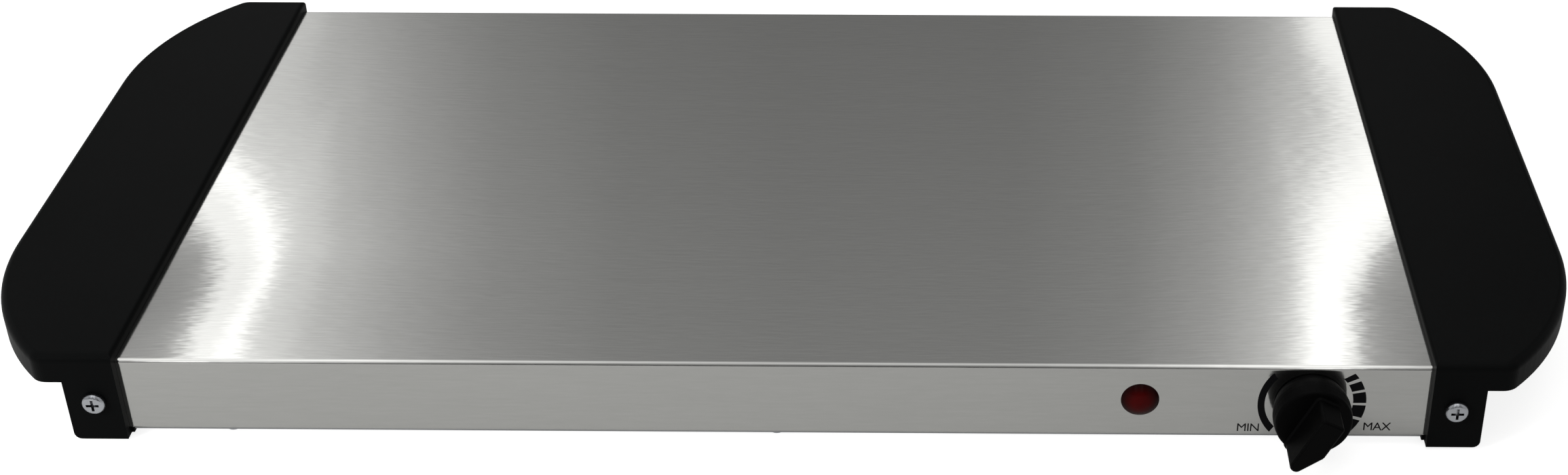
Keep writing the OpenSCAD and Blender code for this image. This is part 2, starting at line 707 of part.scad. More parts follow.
module contact_arm() color("peru") in_tray() {
    leaf(bend_x + hole_fit, knob_x + 3, arm_s, arm_t);
    facing(contact_x, knob_z) translate([0, 0, -arm_s - arm_t - rivet_t]) cylinder(r = 1.8, h = rivet_t);
}

module bimetal_leaf() color("#b58a50") in_tray() {
    leaf(bend_x + hole_fit, knob_x + 6, leaf_s, leaf_t);
    facing(contact_x, knob_z) translate([0, 0, -leaf_s]) cylinder(r = 1.8, h = rivet_t);
}

module stack_leaf(s, t) difference() {
    leaf(stack_x - spacer_d / 2 - tab_l, bend_x, s, t);
    facing(stack_x, knob_z) translate([0, 0, -s - 2 * t]) cylinder(r = 1.5 + hole_fit, h = 3 * t);
}

module arm_terminal() color("peru") in_tray() stack_leaf(arm_s, arm_t);

module leaf_terminal() color("#b58a50") in_tray() stack_leaf(leaf_s, leaf_t);

module spacer(from, to) facing(stack_x, knob_z) translate([0, 0, -to])
    tube(spacer_d / 2, 1.5 + hole_fit, to - from);

module stack_spacers() color("white") in_tray() {
    spacer(bracket_back, arm_s);
    spacer(arm_s + arm_t, leaf_s);
    spacer(leaf_s + leaf_t, stack_end);
}

module stack_rivet() color("silver") in_tray() facing(stack_x, knob_z) translate([0, 0, -stack_end - 1]) {
    cylinder(r = 1.5, h = stack_end + 1 - sheet_t);
    cylinder(r = 2.8, h = 1);
}

// ---------- pilot lamp ----------

bulb_l = barrel_l - 1.5;

module lamp_lens() color("#7a1010") in_tray() facing(lamp_x, lamp_z) difference() {
    union() {
        // Dome: the part of a ball that stands above the panel
        intersection() {
            ball_r = (lens_d * lens_d / 4 + lens_h * lens_h) / (2 * lens_h);
            translate([0, 0, lens_h - ball_r]) sphere(ball_r);
            cylinder(d = lens_d, h = lens_h + 1);
        }
        translate([0, 0, -barrel_l]) cylinder(d = barrel_d, h = barrel_l + slice);
    }
    translate([0, 0, -barrel_l - 1]) cylinder(d = barrel_d - 2, h = barrel_l + 1);
}

module lamp_clip() color("silver") in_tray() facing(lamp_x, lamp_z)
    translate([0, 0, -sheet_t - 0.5]) tube(barrel_d / 2 + 3, barrel_d / 2 + hole_fit, 0.5);

module bulb_sleeve() color("white") in_tray() facing(lamp_x, lamp_z)
    translate([0, 0, -barrel_l]) tube(barrel_d / 2 - 1 - hole_fit, bulb_d / 2 + hole_fit, bulb_l - bulb_d / 2);

module neon_bulb() color("#ff9a5a") in_tray() facing(lamp_x, lamp_z) {
    translate([0, 0, -barrel_l]) cylinder(d = bulb_d, h = bulb_l - bulb_d / 2);
    translate([0, 0, -barrel_l + bulb_l - bulb_d / 2]) sphere(d = bulb_d);
}

resistor_s = barrel_l + 8;

module lamp_resistor() color("#c8a878") in_tray() facing(lamp_x, lamp_z) translate([1.5, 0, -resistor_s]) {
    cylinder(r = 1.2, h = 6);
    cylinder(r = 0.4, h = resistor_s - barrel_l);
}

// ---------- cord inlet and terminal block ----------

module cord_gland() color("#202020") in_tray() facing_back(gland_x, gland_z) difference() {
    union() {
        cylinder(d = gland_flange_d, h = gland_out);
        translate([0, 0, -sheet_t - slice]) block(gland_neck, gland_neck, sheet_t + 2 * slice);
        translate([0, 0, -sheet_t - 7]) cylinder(d = gland_flange_d - slice, h = 7);
    }
    translate([0, 0, -sheet_t - 8]) cylinder(d = gland_bore_d, h = gland_out + sheet_t + 9);
}

module terminal_block() color("ivory") in_tray() difference() {
    translate([block_x, block_y, pan_z + pan_t]) block(block_w, block_d, block_h);
    for (x = pole_x) {
        translate([x, block_y - block_d, pole_z]) rotate([-90, 0, 0]) cylinder(r = 2.2, h = 2 * block_d);
        translate([x, block_y, pole_z]) cylinder(r = 1.5 + hole_fit, h = block_h);
    }
    translate([block_x + pole_pitch / 2, block_y, pan_z]) cylinder(r = 1.5 + hole_fit, h = 2 * block_h);
}

module pole_inserts() color("goldenrod") in_tray() for (x = pole_x) difference() {
    translate([x, block_y - block_d / 2, pole_z]) rotate([-90, 0, 0]) tube(2.2 - hole_fit, 1.5, block_d);
    translate([x, block_y, pole_z]) cylinder(r = 1.5 + hole_fit, h = block_h);
}

module pole_screws() color("gainsboro") in_tray() for (x = pole_x)
    translate([x, block_y, pole_z + 1.2]) difference() {
        cylinder(r = 1.5, h = block_h / 2 - 2);
        translate([0, 0, block_h / 2 - 2.6]) block(4, 0.5, 1);
    }

module block_screw() color("gainsboro") in_tray()
    translate([block_x + pole_pitch / 2, block_y, pan_z + pan_t + block_h]) pan_screw(3, 5, 1.6, block_h + pan_t);

tag_t = 0.6;

module earth_tag() color("goldenrod") in_tray() translate([stud_pitch, stud_y, press_z - nut_h - tag_t])
    difference() {
        union() {
            cylinder(r = 4, h = tag_t);
            translate([0, -2, 0]) cube([12, 4, tag_t]);
        }
        translate([0, 0, -1]) cylinder(r = stud_d / 2 + hole_fit, h = 3);
    }

module earth_nut() color("goldenrod") in_tray()
    translate([stud_pitch, stud_y, press_z - 2 * nut_h - tag_t]) hex_nut(7, stud_d / 2 + hole_fit, nut_h);

// ---------- inner leads ----------

// Ends of the poles, facing the heater and clear of their walls
pole_mouth = [for (x = pole_x) [x, block_y - block_d / 2 + 4, pole_z]];
pole_lead = [for (m = pole_mouth) [m.x, m.y - 10, m.z]];
arm_tab = [stack_x - spacer_d / 2 - tab_l - hole_fit, arm_s + arm_t / 2 - plate_d / 2, knob_z];
leaf_tab = [arm_tab.x, leaf_s + leaf_t / 2 - plate_d / 2, knob_z];
post_end = [for (p = post_places) [p.x, p.y, post_low - hole_fit]];
tag_z = press_z - nut_h - tag_t / 2;
bulb_y = barrel_l - plate_d / 2;
resistor_y = resistor_s - plate_d / 2;

module live_lead() color("brown") in_tray() lead([
    pole_mouth[0], pole_lead[0], [fuse_x + 30, block_y - 45, lead_z], [fuse_x + 24, 20, lead_z],
    [fuse_x + 20, 4, fuse_z - 3], [fuse_x + 14, 0, fuse_z], [fuse_x + fuse_l / 2 + hole_fit, 0, fuse_z]
]);

module fuse_lead() color("brown") in_tray() lead([
    [fuse_x - fuse_l / 2 - hole_fit, 0, fuse_z], [fuse_x - 14, 0, fuse_z], [fuse_x - 22, -8, fuse_z - 3],
    [fuse_x - 26, -24, lead_z], [fuse_x - 20, leaf_tab.y + 36, lead_z],
    [leaf_tab.x - 16, leaf_tab.y + 34, lead_z + 5], [leaf_tab.x - 6, leaf_tab.y + 22, knob_z - 1],
    [leaf_tab.x - 5, leaf_tab.y + 5, knob_z], [leaf_tab.x - 2, leaf_tab.y, knob_z], leaf_tab
]);

module heater_lead() color("brown") in_tray() lead([
    arm_tab, [arm_tab.x - 2, arm_tab.y, knob_z], [arm_tab.x - 6, arm_tab.y + 1, knob_z - 4],
    [arm_tab.x - 2, leaf_tab.y + 10, lead_z - 2], [knob_x - 12, leaf_tab.y + 14, lead_z - 2],
    [post_end[0].x - 6, post_end[0].y - 4, lead_z - 2], [post_end[0].x, post_end[0].y, lead_z],
    post_end[0]
]);

module neutral_lead() color("steelblue") in_tray() lead([
    pole_mouth[1], pole_lead[1], [block_x + 4, block_y - 34, lead_z - 1],
    [post_end[1].x - 8, block_y - 38, lead_z - 1], [post_end[1].x - 2, post_end[1].y - 8, lead_z - 1],
    [post_end[1].x, post_end[1].y, lead_z], post_end[1]
]);

module earth_lead() color("yellowgreen") in_tray() lead([
    pole_mouth[2], pole_lead[2], [pole_lead[2].x - 4, block_y - 28, lead_z - 4],
    [block_x - 4, block_y - 44, lead_z - 4], [stud_pitch + 22, stud_y - 12, lead_z - 2],
    [stud_pitch + 20, stud_y - 2, tag_z - 2], [stud_pitch + 15, stud_y, tag_z],
    [stud_pitch + 12 + hole_fit, stud_y, tag_z]
], 0.9);

module lamp_leads() color("white") in_tray() {
    side_z = post_low + 1.4;
    reach = stud_d / 2 + 0.6 + hole_fit;
    lead([
        [lamp_x + 1.5, resistor_y + hole_fit, lamp_z], [lamp_x + 1.5, resistor_y + 2, lamp_z],
        [lamp_x + 3, resistor_y + 12, lamp_z - 6], [lamp_x + 18, resistor_y + 24, lead_z + 2],
        [post_end[0].x - 14, post_end[0].y + 12, lead_z + 2], [post_end[0].x, post_end[0].y + 7, side_z],
        [post_end[0].x, post_end[0].y + reach, side_z]
    ], 0.6);
    lead([
        [lamp_x - 1.5, bulb_y + hole_fit, lamp_z], [lamp_x - 1.5, bulb_y + 2, lamp_z],
        [lamp_x - 4, resistor_y + 2, lamp_z - 6], [lamp_x - 12, resistor_y + 24, lead_z - 3],
        [lamp_x - 20, 0, lead_z - 3], [lamp_x + 2, stud_y + 12, side_z],
        [post_end[1].x - 12, post_end[1].y - 12, side_z], [post_end[1].x - 6, post_end[1].y, side_z],
        [post_end[1].x - reach, post_end[1].y, side_z]
    ], 0.6);
}

top_plate();
left_end_cap();
right_end_cap();
cap_screws();
foot_pads();
bottom_pan();
pan_screws();
plate_studs();
heat_spreader();
upper_mica();
heater_ribbon();
lower_mica();
insulation_blanket();
pressure_plate();
stud_nuts();
heater_posts();
post_bushes();
post_nuts();
thermal_fuse();
fuse_strap();
fuse_screws();
thermostat_bracket();
bush_nut();
spindle();
spindle_ring();
control_knob();
knob_clip();
adjusting_pin();
contact_arm();
arm_terminal();
bimetal_leaf();
leaf_terminal();
stack_spacers();
stack_rivet();
lamp_lens();
lamp_clip();
neon_bulb();
bulb_sleeve();
lamp_resistor();
cord_gland();
terminal_block();
pole_inserts();
pole_screws();
block_screw();
earth_tag();
earth_nut();
live_lead();
fuse_lead();
heater_lead();
neutral_lead();
earth_lead();
lamp_leads();
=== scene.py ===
"""Looks of the electric food warmer tray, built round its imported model.

Metres, +Z up, in the model's own frame. X runs along the tray, Y from front to back.
"""
import json
import math

import bmesh
import bpy
from mathutils import Matrix, Vector


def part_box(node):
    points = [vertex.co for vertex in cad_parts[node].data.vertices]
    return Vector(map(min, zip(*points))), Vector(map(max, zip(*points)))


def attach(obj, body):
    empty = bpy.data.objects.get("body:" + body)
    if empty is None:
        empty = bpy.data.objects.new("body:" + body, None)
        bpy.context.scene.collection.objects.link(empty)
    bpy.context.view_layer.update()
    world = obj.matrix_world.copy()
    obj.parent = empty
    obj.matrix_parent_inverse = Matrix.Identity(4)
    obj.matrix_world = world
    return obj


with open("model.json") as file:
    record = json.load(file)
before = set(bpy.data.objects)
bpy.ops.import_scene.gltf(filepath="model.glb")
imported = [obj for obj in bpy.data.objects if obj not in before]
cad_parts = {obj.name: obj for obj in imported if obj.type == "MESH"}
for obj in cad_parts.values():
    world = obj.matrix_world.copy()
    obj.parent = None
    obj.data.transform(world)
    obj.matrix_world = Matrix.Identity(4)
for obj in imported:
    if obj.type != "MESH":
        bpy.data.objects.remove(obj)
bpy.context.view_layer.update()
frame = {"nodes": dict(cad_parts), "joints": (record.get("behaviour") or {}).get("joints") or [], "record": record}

MM = 0.001

# ---------- places taken from the frame ----------

JOINTS = {joint["name"]: joint for joint in frame["joints"]}
PLATE_LOW, PLATE_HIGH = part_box("top_plate")
FRONT_Y = PLATE_LOW.y
PLATE_Z, SKIRT_Z = PLATE_HIGH.z, PLATE_LOW.z
KNOB_X, _, KNOB_Z = JOINTS["knob_turn"]["pos_m"]

# ---------- camera ----------

IMAGE_W, IMAGE_H = 2310, 700
FOCAL_PX = 3394.7
CENTRE_X_PX, CENTRE_Y_PX = 1399.0, 349.9
PITCH, YAW = math.radians(32.40), math.radians(0.592)
# The camera's place: along X, in front of the plate's front edge, and above the plate
CAMERA_X, CAMERA_AHEAD, CAMERA_ABOVE = 0.0669, 0.6389, 0.4570
SENSOR_MM = 36.0


def make_camera():
    data = bpy.data.cameras.new("camera")
    data.sensor_width = SENSOR_MM
    data.lens = SENSOR_MM * FOCAL_PX / IMAGE_W
    data.shift_x = (IMAGE_W / 2 - CENTRE_X_PX) / IMAGE_W
    data.shift_y = (CENTRE_Y_PX - IMAGE_H / 2) / IMAGE_W
    camera = bpy.data.objects.new("camera", data)
    camera.location = (CAMERA_X, FRONT_Y - CAMERA_AHEAD, PLATE_Z + CAMERA_ABOVE)
    camera.rotation_euler = (math.pi / 2 - PITCH, 0, YAW)
    bpy.context.scene.collection.objects.link(camera)
    bpy.context.scene.camera = camera


# ---------- node helpers ----------

# Numbers of the sockets of a Mix node that mixes colours
MIX_FACTOR, MIX_A, MIX_B, MIX_RESULT = 0, 6, 7, 2


class Shader:
    """A material's node tree, with short calls to add nodes and links."""

    def __init__(self, name):
        self.material = bpy.data.materials.new(name)
        self.material.use_nodes = True
        self.tree = self.material.node_tree
        self.tree.nodes.clear()
        self.out = self.node("ShaderNodeOutputMaterial")
        self.bsdf = None

    def feed(self, socket, value):
        """Links the socket to another node's output, or sets it to a number or colour."""
        if isinstance(value, bpy.types.NodeSocket):
            self.tree.links.new(value, socket)
        else:
            socket.default_value = value

    def node(self, kind, inputs=None, **settings):
        made = self.tree.nodes.new(kind)
        for key, value in settings.items():
            setattr(made, key, value)
        for key, value in (inputs or {}).items():
            self.feed(made.inputs[key], value)
        return made

    def surface(self, output):
        self.feed(self.out.inputs["Surface"], output)

    def principled(self, **inputs):
        names = {key.replace("_", " "): value for key, value in inputs.items()}
        self.bsdf = self.node("ShaderNodeBsdfPrincipled", names)
        self.surface(self.bsdf.outputs["BSDF"])

    def set(self, socket, value):
        self.feed(self.bsdf.inputs[socket], value)

    def place(self, scale=(1, 1, 1)):
        """Object coordinates in metres, stretched by scale."""
        coordinates = self.node("ShaderNodeTexCoord").outputs["Object"]
        mapping = self.node("ShaderNodeMapping", {"Vector": coordinates, "Scale": scale})
        return mapping.outputs["Vector"]

    def noise(self, vector, scale, detail=3.0, roughness=0.55):
        inputs = {"Vector": vector, "Scale": scale, "Detail": detail, "Roughness": roughness}
        return self.node("ShaderNodeTexNoise", inputs).outputs["Fac"]

    def span(self, value, low, high):
        """Turns a factor from 0 to 1 into a value from low to high."""
        inputs = {"Value": value, "To Min": low, "To Max": high}
        return self.node("ShaderNodeMapRange", inputs).outputs["Result"]

    def ease(self, value, start, end, low=0.0, high=1.0):
        """A smooth step, from low where the value is start to high where it is end."""
        inputs = {"Value": value, "From Min": start, "From Max": end, "To Min": low, "To Max": high}
        made = self.node("ShaderNodeMapRange", inputs, interpolation_type="SMOOTHSTEP")
        return made.outputs["Result"]

    def math(self, operation, a, b=0.0):
        return self.node("ShaderNodeMath", {0: a, 1: b}, operation=operation).outputs[0]

    def plus(self, total, *values):
        for value in values:
            total = self.math("ADD", total, value)
        return total

    def times(self, product, *values):
        for value in values:
            product = self.math("MULTIPLY", product, value)
        return product

    def above(self, value, start):
        """How far the value is above start, and 0 below it."""
        return self.math("MAXIMUM", self.math("SUBTRACT", value, start), 0.0)

    def mix(self, factor, a, b):
        inputs = {MIX_FACTOR: factor, MIX_A: a, MIX_B: b}
        return self.node("ShaderNodeMix", inputs, data_type="RGBA").outputs[MIX_RESULT]

    def bump(self, height, distance, strength=1.0):
        inputs = {"Height": height, "Distance": distance, "Strength": strength}
        return self.node("ShaderNodeBump", inputs).outputs["Normal"]


def tone(red, green, blue):
    return (red, green, blue, 1.0)


def darker(colour, share):
    return tone(*[share * c for c in colour])


# ---------- the plate's steel ----------

# Stretch of the coordinates under the noises: the brushing runs along X
BRUSH_STRETCH = (120, 900, 900)
FINE_STRETCH = (110, 1300, 1300)
BROAD_STRETCH = (8, 300, 300)
WAVE_STRETCH = (1.0, 0.6, 1.0)
FINE_SHARE, BROAD_SHARE = 0.7, 0.3
WAVE_DEPTH, WOBBLE_DEPTH, BRUSH_DEPTH = 0.0002, 0.00002, 0.000022
# The raised corner: the Y that it starts from, and its height at the front edge that far left
CORNER_FROM_Y, CORNER_HEIGHT, CORNER_SPAN = -0.05, 0.0022, 0.25
# The ends that curl up: how far out in X they start, and how steeply they rise
END_FROM_X, LEFT_END_LIFT, RIGHT_END_LIFT = 0.19, 0.275, 0.32
# The part of their depth that curls up: where it starts, and its length towards the back
END_FROM_Y, END_LENGTH = -0.080, 0.205
LEFT, RIGHT = -1.0, 1.0


def squared_past(s, x, side, start):
    """How far X is past a start on the left or right side, squared, and 0 before it."""
    past = s.above(s.times(x, side), start)
    return s.times(past, past)


def sheet_form(s):
    """Height of the uneven sheet: a raised front left corner, and ends that curl up by the caps."""
    at = s.node("ShaderNodeSeparateXYZ", {"Vector": s.place()}).outputs
    x, y = at["X"], at["Y"]
    ahead = s.ease(y, CORNER_FROM_Y, FRONT_Y)
    corner = s.times(squared_past(s, x, LEFT, 0.0), ahead, CORNER_HEIGHT / CORNER_SPAN ** 2)
    turn = s.times(s.math("SUBTRACT", y, END_FROM_Y), math.pi / END_LENGTH)
    swell = s.math("MAXIMUM", s.math("SINE", turn), 0.0)
    left = s.times(squared_past(s, x, LEFT, END_FROM_X), LEFT_END_LIFT)
    right = s.times(squared_past(s, x, RIGHT, END_FROM_X), RIGHT_END_LIFT)
    return s.plus(corner, s.times(s.plus(left, right), swell))


def plate_relief(s):
    """Height of the sheet's bump, in metres: its form, slow waves, small wobbles and the brushing."""
    brush = s.noise(s.place(BRUSH_STRETCH), scale=1.0, detail=1.0, roughness=0.4)
    wave = s.noise(s.place(WAVE_STRETCH), scale=7.0, detail=1.0)
    wobble = s.noise(s.place(), scale=42.0, detail=1.0)
    waves, wobbles = s.times(wave, WAVE_DEPTH), s.times(wobble, WOBBLE_DEPTH)
    return s.plus(sheet_form(s), waves, wobbles, s.times(brush, BRUSH_DEPTH))


def brushed_plate():
    """Stainless sheet, brushed along X, satin."""
    s = Shader("steel_plate")
    s.principled(Metallic=1.0, Roughness=0.11, Anisotropic=1.0, Anisotropic_Rotation=0.25)
    fine = s.noise(s.place(FINE_STRETCH), scale=1.0, detail=4.0, roughness=0.6)
    broad = s.noise(s.place(BROAD_STRETCH), scale=2.0)
    grain = s.plus(s.times(fine, FINE_SHARE), s.times(broad, BROAD_SHARE))
    s.set("Base Color", s.mix(grain, tone(0.57, 0.57, 0.55), tone(0.67, 0.67, 0.65)))
    s.set("Roughness", s.span(grain, 0.09, 0.14))
    s.set("Normal", s.bump(plate_relief(s), distance=1.0))
    s.set("Tangent", s.node("ShaderNodeCombineXYZ", {"X": 1.0}).outputs["Vector"])
    return s.material


# ---------- the other materials ----------

def moulded_cap():
    """Matte black moulding with a fine spark texture."""
    s = Shader("cap_plastic")
    s.principled(Roughness=0.45, IOR=1.46, Specular_IOR_Level=0.045)
    grit = s.noise(s.place(), scale=2600.0, roughness=0.6)
    cloud = s.noise(s.place(), scale=14.0, detail=2.0)
    s.set("Base Color", s.mix(cloud, tone(0.0016, 0.0018, 0.0018), tone(0.0028, 0.0030, 0.0030)))
    s.set("Roughness", s.span(grit, 0.32, 0.46))
    s.set("Normal", s.bump(grit, distance=0.00006, strength=0.5))
    return s.material


def moulded_knob():
    """Black moulding of the knob, with a shallower texture than the caps."""
    s = Shader("knob_plastic")
    s.principled(Roughness=0.42, IOR=1.46, Specular_IOR_Level=0.05)
    grit = s.noise(s.place(), scale=2200.0, detail=2.0)
    s.set("Base Color", s.mix(grit, tone(0.0008, 0.0008, 0.0008), tone(0.0015, 0.0015, 0.0015)))
    s.set("Roughness", s.span(grit, 0.34, 0.5))
    s.set("Normal", s.bump(grit, distance=0.00003, strength=0.4))
    return s.material


# Radius of the lens's painted lighter middle
LENS_LIT_MIDDLE_R = 0.0022


def painted_rim_shade(s):
    """0 in the middle of the lens and 1 at its rim, by the distance from its own axis: the mask of the painted
    shade towards the rim.
    """
    low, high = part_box("lamp_lens")
    axis = ((low.x + high.x) / 2, 0.0, (low.z + high.z) / 2)
    across = s.node("ShaderNodeVectorMath", {0: s.place((1, 0, 1)), 1: axis}, operation="DISTANCE")
    return s.ease(across.outputs["Value"], LENS_LIT_MIDDLE_R, (high.x - low.x) / 2)


def red_lens():
    """Dark red moulded dome, with a painted lighter middle and painted shade towards its rim."""
    s = Shader("lens_plastic")
    s.principled(Roughness=0.2, IOR=1.49, Specular_IOR_Level=0.06)
    depth = s.noise(s.place(), scale=240.0, detail=2.0)
    lit_heart = s.mix(depth, tone(0.034, 0.0010, 0.0010), tone(0.052, 0.0014, 0.0014))
    # Painted light and shade: the lighter middle fades to a painted dark rim
    s.set("Base Color", s.mix(painted_rim_shade(s), lit_heart, tone(0.007, 0.001, 0.001)))
    s.set("Roughness", s.span(depth, 0.15, 0.28))
    return s.material


# Painted shade in a metal's recesses: how near another surface is, how sharply the painted shade darkens, and how
# dark it gets
RECESS_SHADE_REACH, RECESS_SHADE_SHARPNESS, RECESS_SHADE_SHARE = 0.0012, 2.0, 0.08
RECESS_SHADE_SAMPLES = 8
# Darkest speckles, as a share of the colour
METAL_SPECK_SHARE, PLAIN_SPECK_SHARE = 0.82, 0.8
# A metal's clouds are this many times coarser than its speckles
CLOUD_COARSER = 12
# The most that the speckles take off a roughness, and that they add to it
METAL_SMOOTHER, PLAIN_SMOOTHER, ROUGHER = 0.08, 0.1, 0.1
LEAST_ROUGHNESS = 0.05


def metal(name, colour, rough, speck):
    """A metal with a fine mottled finish, and painted shade in its recesses."""
    s = Shader(name)
    s.principled(Metallic=1.0, Roughness=rough)
    grain = s.noise(s.place(), scale=speck)
    cloud = s.noise(s.place(), scale=speck / CLOUD_COARSER, detail=2.0)
    # Painted shade: the base colour darkens where other surfaces are near, as in recesses
    recess_shade_probe = s.node("ShaderNodeAmbientOcclusion", {"Distance": RECESS_SHADE_REACH}, samples=RECESS_SHADE_SAMPLES)
    unshaded_share = s.math("POWER", recess_shade_probe.outputs["AO"], RECESS_SHADE_SHARPNESS)
    face = s.mix(s.times(grain, cloud), darker(colour, METAL_SPECK_SHARE), tone(*colour))
    s.set("Base Color", s.mix(unshaded_share, darker(colour, RECESS_SHADE_SHARE), face))
    s.set("Roughness", s.span(grain, max(LEAST_ROUGHNESS, rough - METAL_SMOOTHER), rough + ROUGHER))
    s.set("Normal", s.bump(grain, distance=0.00002, strength=0.25))
    return s.material


def plain(name, colour, rough, speck):
    """A plastic, rubber, ceramic or fibre with a fine grain."""
    s = Shader(name)
    s.principled(Roughness=rough)
    grain = s.noise(s.place(), scale=speck)
    s.set("Base Color", s.mix(grain, darker(colour, PLAIN_SPECK_SHARE), tone(*colour)))
    smoothest = max(LEAST_ROUGHNESS, rough - PLAIN_SMOOTHER)
    s.set("Roughness", s.span(grain, smoothest, min(1.0, rough + ROUGHER)))
    s.set("Normal", s.bump(grain, distance=0.00003, strength=0.4))
    return s.material


def bulb_glass():
    s = Shader("bulb_glass")
    s.principled(Roughness=0.05, IOR=1.45, Transmission_Weight=0.8)
    tint = s.noise(s.place(), scale=300.0, detail=1.0)
    s.set("Base Color", s.mix(tint, tone(0.95, 0.72, 0.55), tone(1.0, 0.82, 0.66)))
    return s.material


def dial_ink():
    """Black printing ink on the panel."""
    s = Shader("dial_ink")
    s.principled(Roughness=0.5, Specular_IOR_Level=0.05)
    grain = s.noise(s.place(), scale=1800.0, detail=2.0)
    s.set("Base Color", s.mix(grain, tone(0.0025, 0.0025, 0.003), tone(0.004, 0.004, 0.0045)))
    return s.material


# Each slot's colour, roughness, and scale of the noise that makes its speckles
METALS = {
    "zinc_screw": ((0.66, 0.68, 0.72), 0.24, 1400.0),
    "galvanised_sheet": ((0.55, 0.56, 0.57), 0.36, 260.0),
    "spring_steel": ((0.18, 0.18, 0.19), 0.35, 900.0),
    "spreader_aluminium": ((0.78, 0.79, 0.80), 0.34, 700.0),
    "heater_alloy": ((0.36, 0.34, 0.31), 0.45, 500.0),
    "brass_metal": ((0.72, 0.55, 0.26), 0.28, 900.0),
    "bimetal": ((0.55, 0.45, 0.33), 0.32, 900.0),
}
PLAINS = {
    "pad_rubber": ((0.020, 0.020, 0.020), 0.75, 900.0),
    "mica_board": ((0.62, 0.54, 0.36), 0.45, 260.0),
    "glass_blanket": ((0.85, 0.84, 0.78), 0.95, 700.0),
    "white_ceramic": ((0.86, 0.85, 0.81), 0.55, 700.0),
    "fuse_case": ((0.70, 0.60, 0.45), 0.5, 700.0),
    "gland_plastic": ((0.014, 0.014, 0.014), 0.45, 1500.0),
    "block_plastic": ((0.85, 0.84, 0.80), 0.35, 900.0),
    "live_sleeve": ((0.25, 0.10, 0.04), 0.5, 900.0),
    "neutral_sleeve": ((0.05, 0.15, 0.45), 0.5, 900.0),
    "earth_sleeve": ((0.25, 0.50, 0.06), 0.5, 900.0),
    "lamp_sleeve": ((0.80, 0.80, 0.78), 0.5, 900.0),
}


def make_materials():
    made = {
        "steel_plate": brushed_plate(),
        "cap_plastic": moulded_cap(),
        "knob_plastic": moulded_knob(),
        "lens_plastic": red_lens(),
        "bulb_glass": bulb_glass(),
        "dial_ink": dial_ink(),
    }
    for name, finish in METALS.items():
        made[name] = metal(name, *finish)
    for name, finish in PLAINS.items():
        made[name] = plain(name, *finish)
    return made


def dress_frame(materials):
    """Gives each node of the frame the material of its own slot."""
    slots = {part["node"]: part["material_slot"] for part in frame["record"]["subparts"]}
    for name, node in frame["nodes"].items():
        finish = materials[slots[name]]
        for slot in node.material_slots:
            slot.link = "OBJECT"
            slot.material = finish


# ---------- pieces added to the frame ----------

def add_mesh(name, mesh, body, material):
    piece = bpy.data.objects.new(name, mesh)
    bpy.context.scene.collection.objects.link(piece)
    piece.data.materials.append(material)
    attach(piece, body)


INK_OUT = 0.05 * MM


def on_panel(x, z):
    """Places a drawing in X and Y on the front panel, at X = x and Z = z, just clear of it."""
    return Matrix.Translation((x, FRONT_Y - INK_OUT, z)) @ Matrix.Rotation(math.pi / 2, 4, "X")


# The ring lies between two circles: the outer one's middle is a little right of the knob's axis,
# and the inner one's is left of the outer one's. Its sweep is in degrees.
RING_RIGHT = 0.7 * MM
RING_R = 18.6 * MM
RING_INNER_R = 15.15 * MM
RING_INNER_LEFT = 1.05 * MM
RING_TOP = 11.3 * MM
RING_SWEEP_FROM, RING_SWEEP_TO = -62, 222
RING_STEPS = 568
# How far the middles of the slits lie above the knob's axis
SLIT_HEIGHTS = (9.0 * MM, 4.9 * MM, -0.4 * MM, -6.2 * MM)
SLIT_W = 1.0 * MM
MERGE_DISTANCE = 1e-6


def circle_point(angle, radius, left):
    """A point of a circle whose middle lies to the left of the ring's own."""
    turn = math.radians(angle)
    return Vector((radius * math.cos(turn) - left, radius * math.sin(turn), 0))


def is_open(middle):
    """True above the ring's top, and in the slits of its right half."""
    in_slit = any(abs(middle.y - height) < SLIT_W / 2 for height in SLIT_HEIGHTS)
    return middle.y > RING_TOP or (middle.x > 0 and in_slit)


def dial_ring_mesh():
    """Crescent round the knob, cut by level slits on its right-hand side."""
    mesh = bmesh.new()
    rows = []
    for k in range(RING_STEPS + 1):
        angle = RING_SWEEP_FROM + (RING_SWEEP_TO - RING_SWEEP_FROM) * k / RING_STEPS
        inner = circle_point(angle, RING_INNER_R, RING_INNER_LEFT)
        rows.append((inner, circle_point(angle, RING_R, 0.0)))
    for (a, b), (c, d) in zip(rows, rows[1:]):
        if not is_open((a + b + c + d) / 4):
            mesh.faces.new([mesh.verts.new(p) for p in (a, b, d, c)])
    bmesh.ops.remove_doubles(mesh, verts=mesh.verts, dist=MERGE_DISTANCE)
    made = bpy.data.meshes.new("dial_ring")
    mesh.to_mesh(made)
    mesh.free()
    made.transform(on_panel(KNOB_X + RING_RIGHT, KNOB_Z))
    return made


LETTER_H, LETTER_SPACING = 3.3 * MM, 0.93
# Blender's own font has capitals of about this share of its size
CAPITAL_SHARE = 0.7
# Each word: piece, letters, middle in X, and height above the skirt's lower edge
WORDS = [
    ("min_word", "MIN", 163.5 * MM, 2.1 * MM),
    ("max_word", "MAX", 207.9 * MM, 2.8 * MM),
]


def lettering_mesh(word, x, z):
    curve = bpy.data.curves.new(word, "FONT")
    curve.body = word
    curve.size = LETTER_H / CAPITAL_SHARE
    curve.space_character = LETTER_SPACING
    curve.align_x = "CENTER"
    drawn = bpy.data.objects.new(word, curve)
    bpy.context.scene.collection.objects.link(drawn)
    bpy.context.view_layer.update()
    evaluated = drawn.evaluated_get(bpy.context.evaluated_depsgraph_get())
    made = bpy.data.meshes.new_from_object(evaluated)
    bpy.data.objects.remove(drawn)
    made.transform(on_panel(x, z))
    made.materials.clear()
    return made


def print_dial(materials):
    ink = materials["dial_ink"]
    add_mesh("dial_ring", dial_ring_mesh(), "tray", ink)
    for name, word, x, rise in WORDS:
        add_mesh(name, lettering_mesh(word, x, SKIRT_Z + rise), "tray", ink)


# ---------- studio ----------

